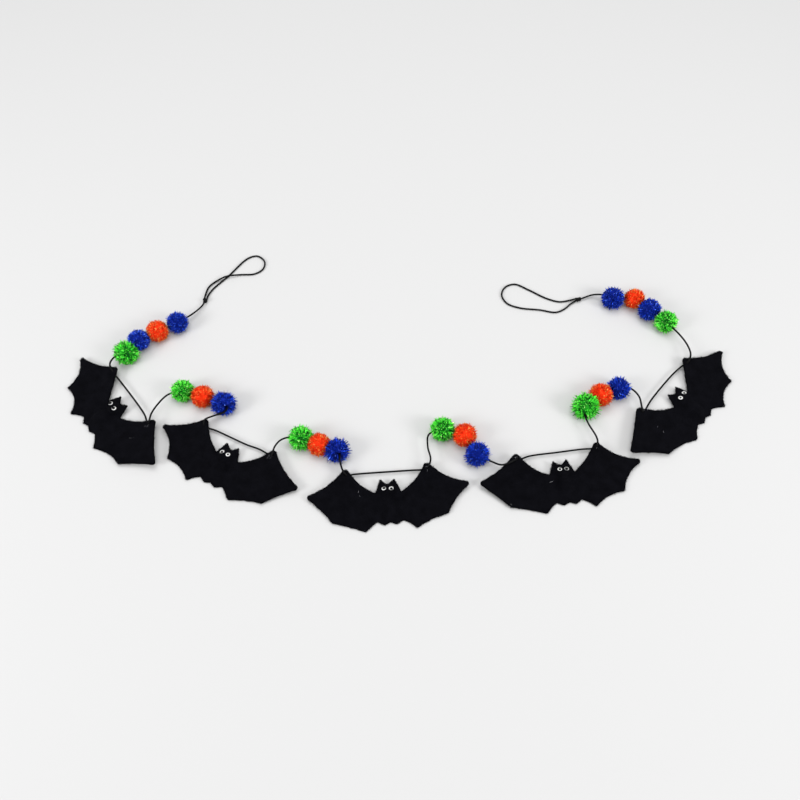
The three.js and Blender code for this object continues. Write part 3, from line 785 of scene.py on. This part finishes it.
noise.seed_set(5)  # so that every run brushes the pile the same way
pile_shape, pile_faces = blade_template(1)
for i, (bat, piece) in enumerate(zip(BATS, bat_pieces)):
    rng = np.random.default_rng(100 + i)
    outline = bat["outline"]
    rim = on_table(bat, *outline.T, np.zeros(len(outline)))[:, :2] / MM

    def weigh(middles, normals):
        near = edge_distance(middles[:, :2] / MM, rim)
        return np.where(normals[:, 2] < UNDER, UNDER_DENSITY, 1.0) + RIM_EXTRA * (near < RIM_WIDTH)

    roots, normals = scatter(piece, PILE_COUNT, weigh, rng)
    brushed = np.array([noise.noise_vector(Vector(p) * BRUSHED_LUMPS) for p in roots])
    clumped = np.array([noise.noise_vector(Vector(p) * CLUMPED_LUMPS) for p in roots])
    ways = unit(normals + BRUSHED * brushed + CLUMPED * clumped + LOOSE * rng.normal(size=roots.shape))
    at_rim = edge_distance(roots[:, :2] / MM, rim) < RIM_WIDTH
    longer = at_rim * (RIM_LONGER + RIM_TUFTS * np.clip(clumped[:, 2], -0.3, 1))
    lengths = rng.uniform(*PILE_LENGTH, PILE_COUNT) + longer
    lengths *= np.where(normals[:, 2] < UNDER, UNDER_LENGTH, 1)
    widths = rng.uniform(*PILE_WIDTH, PILE_COUNT)
    points = strips(roots / MM, ways, lengths, widths, pile_shape, rng, PILE_BEND, PILE_TAPER) * MM
    points[..., 2] = np.maximum(points[..., 2], PILE_LOWEST * MM)
    # the blades take the lighter copy of the flock, painted sheen
    pile = tiled_piece(f"pile_{i + 1}", points, pile_faces, rng.random((PILE_COUNT, 1)), PILE_PAINTED_SHEEN)
    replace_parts(piece, f"bat_{i + 1}")
print("blades of pile:", PILE_COUNT * len(BATS))

# %% [markdown]
# ## Lint
# A few pale fibres have caught in the pile, most of them where the cord was pulled through. They are
# noted by their place across and along the bat, their direction on the table and their length.

# %% Lint
LINT = [
    [(44.1, -2.9, 5, 5.5), (45.1, 17.7, 60, 2.2), (43.2, 15.9, 20, 1.8)],
    [(41.4, 17.0, 55, 4.2), (42.6, 18.2, -72, 4.6), (44.0, 17.0, 50, 3.6), (43.0, 20.2, 100, 2.6),
     (44.9, 19.4, 15, 2.4), (41.2, 20.4, -30, 2.0)],
    [(42.7, 22.1, 20, 2.6), (42.8, 17.9, 85, 2.2), (-30.9, 1.5, 60, 2.2), (-29.8, -3.0, 110, 1.8)],
    [(-13.8, -8.9, 8, 4.0), (-45.8, 21.8, 40, 2.4), (42.7, 19.4, 0, 2.4), (-61.4, -27.4, 90, 1.6)],
    [(-35.2, -4.2, 20, 2.0), (-47.8, -1.3, 70, 2.0), (-47.8, -9.4, 95, 2.4), (-44.5, 20.7, 0, 2.2)],
]


def lint_fibre():
    """Pale fibre, each one between two greys."""
    material, tree = new_material("lint_fibre_grey")
    tint = add(tree, "ShaderNodeAttribute", attribute_name="tint").outputs["Fac"]
    principled(tree, {"Base Color": between(tree, tint, "5C5C64", "C8C8CC"), "Roughness": 0.8})
    return material


LINT_GREY = lint_fibre()
LINT_WIDTH = 0.22
LINT_HEIGHT, LINT_SLOPE = 0.8, 0.08  # on the tips of the pile, nearly level
LINT_BEND, LINT_TAPER = 0.15, 0.5
for i, (bat, fibres) in enumerate(zip(BATS, LINT)):
    rng = np.random.default_rng(300 + i)
    u, v, angle, length = np.array(fibres).T
    count = len(fibres)
    height = lift(bat, u, v) + SHEET + mound(u, v) + LINT_HEIGHT
    turn = np.radians(angle)
    ways = np.stack([np.cos(turn), np.sin(turn), np.full(count, LINT_SLOPE)], 1)
    roots = on_table(bat, u, v, height) / MM - ways * length[:, None] / 2
    widths = np.full(count, LINT_WIDTH)
    points = strips(roots, unit(ways), length, widths, pile_shape, rng, LINT_BEND, LINT_TAPER)
    tiled_piece(f"lint_{i + 1}", points * MM, pile_faces, rng.random((count, 1)), LINT_GREY)
print("fibres of lint:", sum(len(fibres) for fibres in LINT))

# %% [markdown]
# ## Wiggle eyes
# A small wiggle eye is a white dish with a loose black disc under a clear dome. The disc has slid to
# another place in every eye. The dish and dome are spun from a profile, and the disc is a short
# cylinder. The dome is only a gloss over what lies under it. The dish is moulded polystyrene with
# faint clouds of 1.4 mm, and the disc is printed black with a grain of 0.7 mm.

# %% Materials of the eyes
def moulded_white():
    """White plastic of the dish."""
    material, tree = new_material("polystyrene_white")
    clouds = grain(tree, 1.4286, Detail=2.0)
    principled(tree, {"Base Color": between(tree, clouds, "E2E2E0", "F6F6F4"), "Roughness": 0.4})
    return material


def printed_black():
    """Black of the loose disc, dull enough to stay dark under the lamps."""
    material, tree = new_material("polystyrene_black")
    principled(tree, {
        "Base Color": between(tree, grain(tree, 0.6667), "060607", "0E0E10"),
        "Roughness": 0.5, "Specular IOR Level": 0.12,
    })
    return material


def clear_dome():
    """Clear plastic, as a weak gloss over a see-through sheet."""
    material, tree = new_material("clear_acetate_dome")
    gloss = add(tree, "ShaderNodeBsdfGlossy", {"Roughness": 0.05})
    clear = add(tree, "ShaderNodeBsdfTransparent")
    facing = add(tree, "ShaderNodeFresnel", {"IOR": 1.47})
    weak = add(tree, "ShaderNodeMath", {
        0: facing.outputs["Fac"], 1: DOME_GLOSS,
    }, operation="MULTIPLY")
    shader = add(tree, "ShaderNodeMixShader", {
        0: weak.outputs["Value"], 1: clear.outputs["BSDF"], 2: gloss.outputs["BSDF"],
    })
    surface(tree, shader.outputs["Shader"])
    return material


DOME_GLOSS = 0.15
EYE_MATERIALS = [moulded_white(), printed_black(), clear_dome()]

# %% Eyes
EYE_RADIUS = 2.5
EYE_HEIGHT = 1.6
EYE_GAP = 0.5
EYE_SIDES, DOME_POINTS = 24, 7
DISH_RADIUS, DISH_FOOT_RADIUS = 2.35, 2.2
DISH_FOOT, DISH_HEIGHT = 0.1, 0.25
DISC_MIDDLE, DISC_THICKNESS, DISC_SIDES = 0.36, 0.16, 20
DOME_FOOT = 0.3
# place of the black disc in each eye, left and right, in millimetres across and up the face, and
# its radius
PUPILS = [
    ((-0.3, -0.25, 1.9), (-0.5, -0.25, 1.7)),
    ((0.32, -0.75, 1.5), (0.1, -0.1, 1.15)),
    ((0.35, 0.25, 1.65), (0.1, -0.7, 1.6)),
    ((0.0, -0.35, 1.5), (-0.15, -0.35, 1.95)),
    ((-0.1, -0.1, 1.1), (-0.6, -0.6, 1.4)),
]
# how far an eye leans back from the slope of the face under it, in degrees, and the share of the
# sideways slope that it follows
EYE_LEAN = 25
EYE_SIDEWAYS = 0.45


def spun(bm, profile, material_index):
    """A round shape from a profile of radius and height."""
    before = set(bm.faces)
    verts = [bm.verts.new((r * MM, 0, h * MM)) for r, h in profile]
    edges = [bm.edges.new(pair) for pair in zip(verts, verts[1:])]
    bmesh.ops.spin(
        bm, geom=verts + edges, cent=(0, 0, 0), axis=(0, 0, 1), angle=2 * math.pi,
        steps=EYE_SIDES, use_merge=True,
    )
    bmesh.ops.remove_doubles(bm, verts=bm.verts, dist=1e-7)
    made = [f for f in bm.faces if f not in before]
    bmesh.ops.recalc_face_normals(bm, faces=made)
    for face in made:
        face.material_index = material_index


def eye_piece(bat, number, side):
    """One eye of a bat, on the left or right of its face."""
    u, v = bat["eyes"][side]
    bm = bmesh.new()
    dish = [
        (0, 0), (DISH_FOOT_RADIUS, 0), (DISH_RADIUS, DISH_FOOT),
        (DISH_RADIUS, DISH_HEIGHT), (0, DISH_HEIGHT),
    ]
    spun(bm, dish, 0)
    across, up, radius = PUPILS[number][side]
    disc = bmesh.ops.create_cone(
        bm, cap_ends=True, segments=DISC_SIDES, radius1=radius * MM, radius2=radius * MM,
        depth=DISC_THICKNESS * MM, matrix=Matrix.Translation((across * MM, up * MM, DISC_MIDDLE * MM)),
    )["verts"]
    for face in once(f for w in disc for f in w.link_faces):
        face.material_index = 1
    dome = [(EYE_RADIUS, 0)] + [
        (EYE_RADIUS * math.cos(a), DOME_FOOT + (EYE_HEIGHT - DOME_FOOT) * math.sin(a))
        for a in np.linspace(0, math.pi / 2, DOME_POINTS)
    ]
    spun(bm, dome, 2)

    def top(x, y):
        """Height of the face under a point."""
        x, y = np.array([x]), np.array([y])
        return float((lift(bat, x, y) + SHEET + mound(x, y))[0])

    step = 2
    sideways = EYE_SIDEWAYS * (top(u - step, v) - top(u + step, v))
    slope = Vector((sideways, top(u, v - step) - top(u, v + step), 2 * step)).normalized()
    seat = Vector((u, v, top(u, v))) + slope * EYE_GAP
    tilt = Vector((0, 0, 1)).rotation_difference(slope).to_matrix().to_4x4()
    tilt = Matrix.Rotation(-math.radians(EYE_LEAN), 4, "X") @ tilt
    spot = Vector(on_table(bat, np.array(seat.x), np.array(seat.y), np.array(seat.z)))
    bm.transform(Matrix.Translation(spot) @ Matrix.Rotation(math.radians(bat["turn"]), 4, "Z") @ tilt)
    word = ("left", "right")[side]
    piece = mesh_piece(f"wiggle_eye_{number + 1}_{word}", bm, EYE_MATERIALS)
    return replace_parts(piece, f"eye_{number + 1}_{word}")


for i, bat in enumerate(BATS):
    for side in (0, 1):
        eye_piece(bat, i, side)
print("eyes made:", 2 * len(BATS))

# %% [markdown]
# ## Tinsel
# Tinsel is polyester film with a coat of aluminium and a coloured lacquer, slit into strips about a
# millimetre wide. Each strip is a small coloured mirror, so a pompom sparkles: strips that face the light
# are bright, and the rest go deep. That sparkle is painted: every strip has its own random tint, stored in
# its mesh, some painted dark as shade and the rest painted bright as lit, and a few on one side take the
# palest colour as painted glints. Creases of 1.1 mm break up the gloss. Half of the shading comes from the
# way out of the pompom, stored too, so that the ball reads as one round thing.

# %% Materials of the pompoms
def metallised_film(name, stops):
    """Film in the colours of the stops, from painted shade for the deepest strips to painted glints."""
    material, tree = new_material(name)
    tint = add(tree, "ShaderNodeAttribute", attribute_name="tint").outputs["Fac"]
    ramp = add(tree, "ShaderNodeValToRGB", {"Fac": tint})
    for element, (position, code) in zip(ramp.color_ramp.elements, stops):
        element.position = position
        element.color = linear(code)
    for position, code in stops[2:]:
        ramp.color_ramp.elements.new(position).color = linear(code)
    creased = bumps(tree, grain(tree, 1.111, Detail=2.0), 0.6, 0.3)
    out = add(tree, "ShaderNodeAttribute", attribute_name="out").outputs["Vector"]
    both = add(tree, "ShaderNodeMix", {"Factor": 0.55, "A": creased, "B": out}, data_type="VECTOR")
    facing = add(tree, "ShaderNodeVectorMath", {0: both.outputs[1]}, operation="NORMALIZE")
    principled(tree, {
        "Base Color": ramp.outputs["Color"], "Metallic": 0.35, "Roughness": 0.32,
        "Specular IOR Level": 0.08, "Normal": facing.outputs["Vector"],
    })
    return material


# each ramp runs from painted shade through the lacquer's colour to a pale painted glint
FILM = {
    "blue": metallised_film("metallised_film_blue", [
        (0.0, "030A3A"), (0.4, "0A289E"), (0.75, "1640DC"), (0.93, "3464EC"), (1.0, "A0BCFF")]),
    "orange": metallised_film("metallised_film_orange", [
        (0.0, "AC1804"), (0.35, "FF3810"), (0.8, "FF4416"), (0.94, "FF8438"), (1.0, "FFE080")]),
    "green": metallised_film("metallised_film_green", [
        (0.0, "03260A"), (0.25, "0A6418"), (0.48, "46F03C"), (0.85, "66FF4C"), (1.0, "D8FFA8")]),
}

# %% [markdown]
# ## Pompoms
# A pompom is many strips tied round the cord, cut to one length and rolled into a ball. Some are trimmed
# short and even, others keep long loose points. The strips are repeated by arrays like the pile, round a
# rough ball that stands for their crowded roots and is tinted dark as painted shade. Where a pompom touches
# its neighbour or the table, its strips are pressed flat there. Where the cord comes out on the side of the
# camera, the strips in front of it are parted.

# %% Pompoms
POMPOM_CENTRE = 9.5
TABLE_MIDDLE = np.array([MIDDLE_X, MIDDLE_Y, 0])
STRIPS = 2000
LONG_SHARE, LONG_REACH = 0.18, 1.1
STRIP_START, STRIP_END = (0.45, 0.7), (0.94, 1.06)  # shares of the body's radius
STRIP_NARROW, STRIP_TAPER, STRIP_BEND = 0.8, 0.5, 0.35
TUFTS, TUFT_PULL, TUFT_PULL_UNEVEN = 110, 0.1, 1.2
BODY_SHARE, BODY_LOSS = 0.98, 0.5  # of the reach, and how much less where a pompom is uneven
HEART_SHARE, HEART_ROUGH, HEART_DENT = 0.86, 0.05, 0.5
# painted light and shade of the strips: tints of strips painted dark as shade and bright as lit, and how
# much darker the tint is painted deep in the ball and brighter at the tips, past this share of the reach
PAINTED_SHADE_TINTS, PAINTED_LIGHT_TINTS = (0, 0.3), (0.5, 0.9)
PAINTED_DEPTH_SHADE, PAINTED_DEPTH_SHADE_FROM = 1.2, 0.85
# random spread of the heart's dark tint, painted shade
HEART_SHADE_SPREAD = 0.2
PRESSED_ROUGH, PRESSED_LOWEST = 0.6, 0.1
PRESSED_PROUD, PRESSED_PROUD_UNEVEN = 0.4, 8
FLOOR_ROUGH = 0.5
# share of strips painted dark as shade and of strips painted as glints, widest strip, and the heart's dark
# tint between the strips, painted shade
TINSEL_LOOKS = {
    "blue": {"dark": 0.4, "glint": 0.015, "wide": 1.2, "heart": 0.15},
    "orange": {"dark": 0.12, "glint": 0.07, "wide": 1.1, "heart": 0.3},
    "green": {"dark": 0.22, "glint": 0.02, "wide": 1.45, "heart": 0.15},
}
# the side of a pompom on which a few strips are painted as glints
GLINT_SIDE, GLINT_FROM = np.array([0.55, -0.55, 0.63]), 0.2
# how far from the middle of these pompoms the cord comes into sight, as a share of their reach,
# and how far out, in millimetres, the strips in front of it are parted, and by how much
CORD_SHOWN_FROM = {"b3": 0.5, "c3": 0.45, "e1": 0.5, "f1": 0.75}
CORD_SHOWN_TO = 18
PARTING = 0.5
# colour, place, reach of the longest strips, and how uneven, in the six groups from left to right
POMPOMS = [
    [("blue", -261.3, 102.0, 13.0, 0.15), ("orange", -282.8, 90.0, 13.0, 0.05),
     ("blue", -302.1, 77.4, 12.8, 0.08), ("green", -313.3, 59.9, 15.0, 0.22)],
    [("green", -241.7, 10.4, 13.3, 0.16), ("orange", -218.6, 3.3, 13.2, 0.12),
     ("blue", -194.4, -5.7, 14.9, 0.26)],
    [("green", -106.4, -47.1, 14.6, 0.24), ("orange", -86.4, -54.9, 12.8, 0.05),
     ("blue", -67.4, -62.0, 15.1, 0.3)],
    [("green", 46.1, -36.9, 14.3, 0.2), ("orange", 69.6, -43.8, 13.6, 0.1),
     ("blue", 82.0, -66.5, 14.6, 0.26)],
    [("green", 204.4, -9.0, 16.5, 0.27), ("orange", 222.7, 5.2, 13.8, 0.1),
     ("blue", 243.6, 13.6, 13.6, 0.22)],
    [("green", 312.2, 103.1, 14.0, 0.19), ("blue", 295.8, 120.5, 13.8, 0.16),
     ("orange", 280.5, 136.2, 12.2, 0.06), ("blue", 254.8, 137.0, 14.3, 0.21)],
]
strip_shape, strip_faces = blade_template(2)


def ball_template():
    """A ball of radius 1 from triangles."""
    bm = bmesh.new()
    bmesh.ops.create_icosphere(bm, subdivisions=3, radius=1)
    shape = np.array([tuple(v.co) for v in bm.verts])
    faces = np.array([[v.index for v in f.verts] for f in bm.faces])
    bm.free()
    return shape, faces


ball_shape, ball_faces = ball_template()


def ball_directions(count, rng):
    """Directions that spread evenly over a ball."""
    return unit(rng.normal(size=(count, 3)))


def pressed(points, group, index, rng, proud):
    """Points of a pompom, pressed flat where it meets its neighbours and the table."""
    x, y = group[index][1:3]
    centre = np.array([x, y, POMPOM_CENTRE])
    count = len(points)
    for k in (index - 1, index + 1):
        if 0 <= k < len(group):
            to_other = np.array([group[k][1] - x, group[k][2] - y, 0.0])
            half = np.linalg.norm(to_other) / 2
            way = to_other / (2 * half)
            over = (points - centre) @ way - (half + rng.uniform(-PRESSED_ROUGH, proud, (count, 1)))
            points = points - np.maximum(over, 0)[..., None] * way
    points[..., 2] = np.maximum(points[..., 2], PRESSED_LOWEST + FLOOR_ROUGH * rng.random((count, 1)))
    return points


def hides_cord(points, centre, group, index, shown_from):
    """Which points stand between the camera and the cord where it comes out in plain sight."""
    line = np.array(main_line) / MM + TABLE_MIDDLE
    neighbour = group[1] if index == 0 else group[index - 1]
    away = centre[:2] - np.array(neighbour[1:3])
    offset = line - centre
    far = np.linalg.norm(offset, axis=1)
    line = line[(far > shown_from) & (far < CORD_SHOWN_TO) & (offset[:, :2] @ away > 0)]
    to_eye = unit(np.array(eye_point) / MM + TABLE_MIDDLE - line)
    gap = points[..., None, :] - line
    nearer = (gap * to_eye).sum(-1)
    aside = np.linalg.norm(gap - nearer[..., None] * to_eye, axis=-1)
    return ((nearer > 0) & (aside < CORD_THICKNESS / 2 + PARTING)).any(-1)


def pompom_piece(group, index, letter, rng):
    """One pompom of a group: its strips and its heart."""
    colour, x, y, reach, uneven = group[index]
    look = TINSEL_LOOKS[colour]
    centre = np.array([x, y, POMPOM_CENTRE])
    body = reach * (BODY_SHARE - BODY_LOSS * uneven)
    tufts = ball_directions(TUFTS, rng)
    ways = ball_directions(STRIPS, rng)
    nearest = tufts[np.argmax(ways @ tufts.T, axis=1)]
    is_long = rng.random(STRIPS) < LONG_SHARE
    pull = np.where(is_long, 0, TUFT_PULL + TUFT_PULL_UNEVEN * uneven)
    ways = unit(ways + pull[:, None] * nearest)
    start = body * rng.uniform(*STRIP_START, STRIPS)
    ends = body * rng.uniform(*STRIP_END, STRIPS)
    ends[is_long] = rng.uniform(body, reach * LONG_REACH, is_long.sum())
    widths = rng.uniform(STRIP_NARROW, look["wide"], STRIPS)
    points = strips(
        centre + ways * start[:, None], ways, ends - start, widths, strip_shape, rng,
        rng.uniform(0.0, STRIP_BEND, STRIPS), STRIP_TAPER,
    )
    # painted shade and light: random dark and bright strips, glints painted on one side, and tints painted
    # darker deep in the ball and brighter at the tips
    deep = np.linalg.norm(points - centre, axis=2) / reach
    is_painted_shade = rng.random((STRIPS, 1)) < look["dark"]
    tints = np.where(
        is_painted_shade, rng.uniform(*PAINTED_SHADE_TINTS, (STRIPS, 1)), rng.uniform(*PAINTED_LIGHT_TINTS, (STRIPS, 1)),
    )
    glint = (ways @ GLINT_SIDE > GLINT_FROM) & (rng.random(STRIPS) < look["glint"])
    tints = np.clip(np.where(glint[:, None], 1, tints) + PAINTED_DEPTH_SHADE * (deep - PAINTED_DEPTH_SHADE_FROM), 0, 1)
    points = pressed(points, group, index, rng, PRESSED_PROUD + PRESSED_PROUD_UNEVEN * uneven)
    rough = 1 + HEART_ROUGH * rng.normal(size=(len(ball_shape), 1))
    ball = centre + ball_shape * rough * HEART_SHARE * body
    shown_from = CORD_SHOWN_FROM.get(f"{letter}{index + 1}")
    if shown_from:
        apart = ~hides_cord(points, centre, group, index, shown_from * reach).any(1)
        points, tints = points[apart], tints[apart]
        under = hides_cord(ball, centre, group, index, shown_from * reach)
        ball[under] = centre + (ball[under] - centre) * HEART_DENT
    ball = pressed(ball[None], group, index, rng, 0)
    label = f"{letter}{index + 1}_{colour}"
    made = tiled_piece(
        f"tinsel_{label}", (points - TABLE_MIDDLE) * MM, strip_faces, tints, FILM[colour],
        unit(points - centre),
    )
    # the heart is tinted dark, painted shade deep inside the pompom
    tiled_piece(
        f"tinsel_heart_{label}", (ball - TABLE_MIDDLE) * MM, ball_faces,
        look["heart"] + HEART_SHADE_SPREAD * rng.random((1, len(ball_shape))), FILM[colour],
        unit(ball - centre),
    )
    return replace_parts(made, f"pompom_{label}")


rng = np.random.default_rng(7)
pompoms = [
    pompom_piece(group, i, letter, rng)
    for letter, group in zip("abcdef", POMPOMS) for i in range(len(group))
]
print("pompoms:", len(pompoms), "with", STRIPS, "strips each")

# %% [markdown]
# ## Table and light
# The garland lies on a plain pale surface under soft studio light, which leaves only faint shadows.
# A wide lamp overhead, a smaller one low on each side and a white sky do that.

# %% Floor, lamps and sky
def pale_floor():
    """Matt pale board with a faint tooth of 2.5 mm."""
    material, tree = new_material("matt_board_pale")
    principled(tree, {
        "Base Color": linear("CFCFCF"), "Roughness": 0.9, "Specular IOR Level": 0.1,
        "Normal": bumps(tree, grain(tree, 2.5), 0.05, 0.2),
    })
    return material


FLOOR_HALF = 6.0  # metres
FLOOR_DROP = 0.2  # millimetres, so that nothing that lies on it is cut
bm = bmesh.new()
bmesh.ops.create_grid(bm, x_segments=1, y_segments=1, size=FLOOR_HALF)
bmesh.ops.translate(bm, verts=bm.verts, vec=(0, 0, -FLOOR_DROP * MM))
floor_mesh = bpy.data.meshes.new("floor")
bm.to_mesh(floor_mesh)
bm.free()
floor_mesh.materials.append(pale_floor())
floor = bpy.data.objects.new("floor", floor_mesh)
bpy.context.scene.collection.objects.link(floor)


def lamp(name, spot, size, power):
    """A square lamp that points at the middle of the table, in metres and watts."""
    light = bpy.data.lights.new(name, "AREA")
    light.size = size
    light.energy = power
    made = bpy.data.objects.new(name, light)
    made.location = spot
    made.rotation_euler = (-Vector(spot)).to_track_quat("-Z", "Y").to_euler()
    bpy.context.scene.collection.objects.link(made)


lamp("overhead", (0, 0.7, 2.4), 2.0, 32)
lamp("left", (-1.7, -0.7, 1.1), 0.7, 18)
lamp("right", (1.7, -0.7, 1.1), 0.7, 18)
world = bpy.data.worlds.new("studio")
world.use_nodes = True
sky = world.node_tree.nodes["Background"].inputs
sky["Color"].default_value = linear("FFFFFF")
sky["Strength"].default_value = 0.6
bpy.context.scene.world = world
bpy.context.scene.view_settings.view_transform = "Standard"
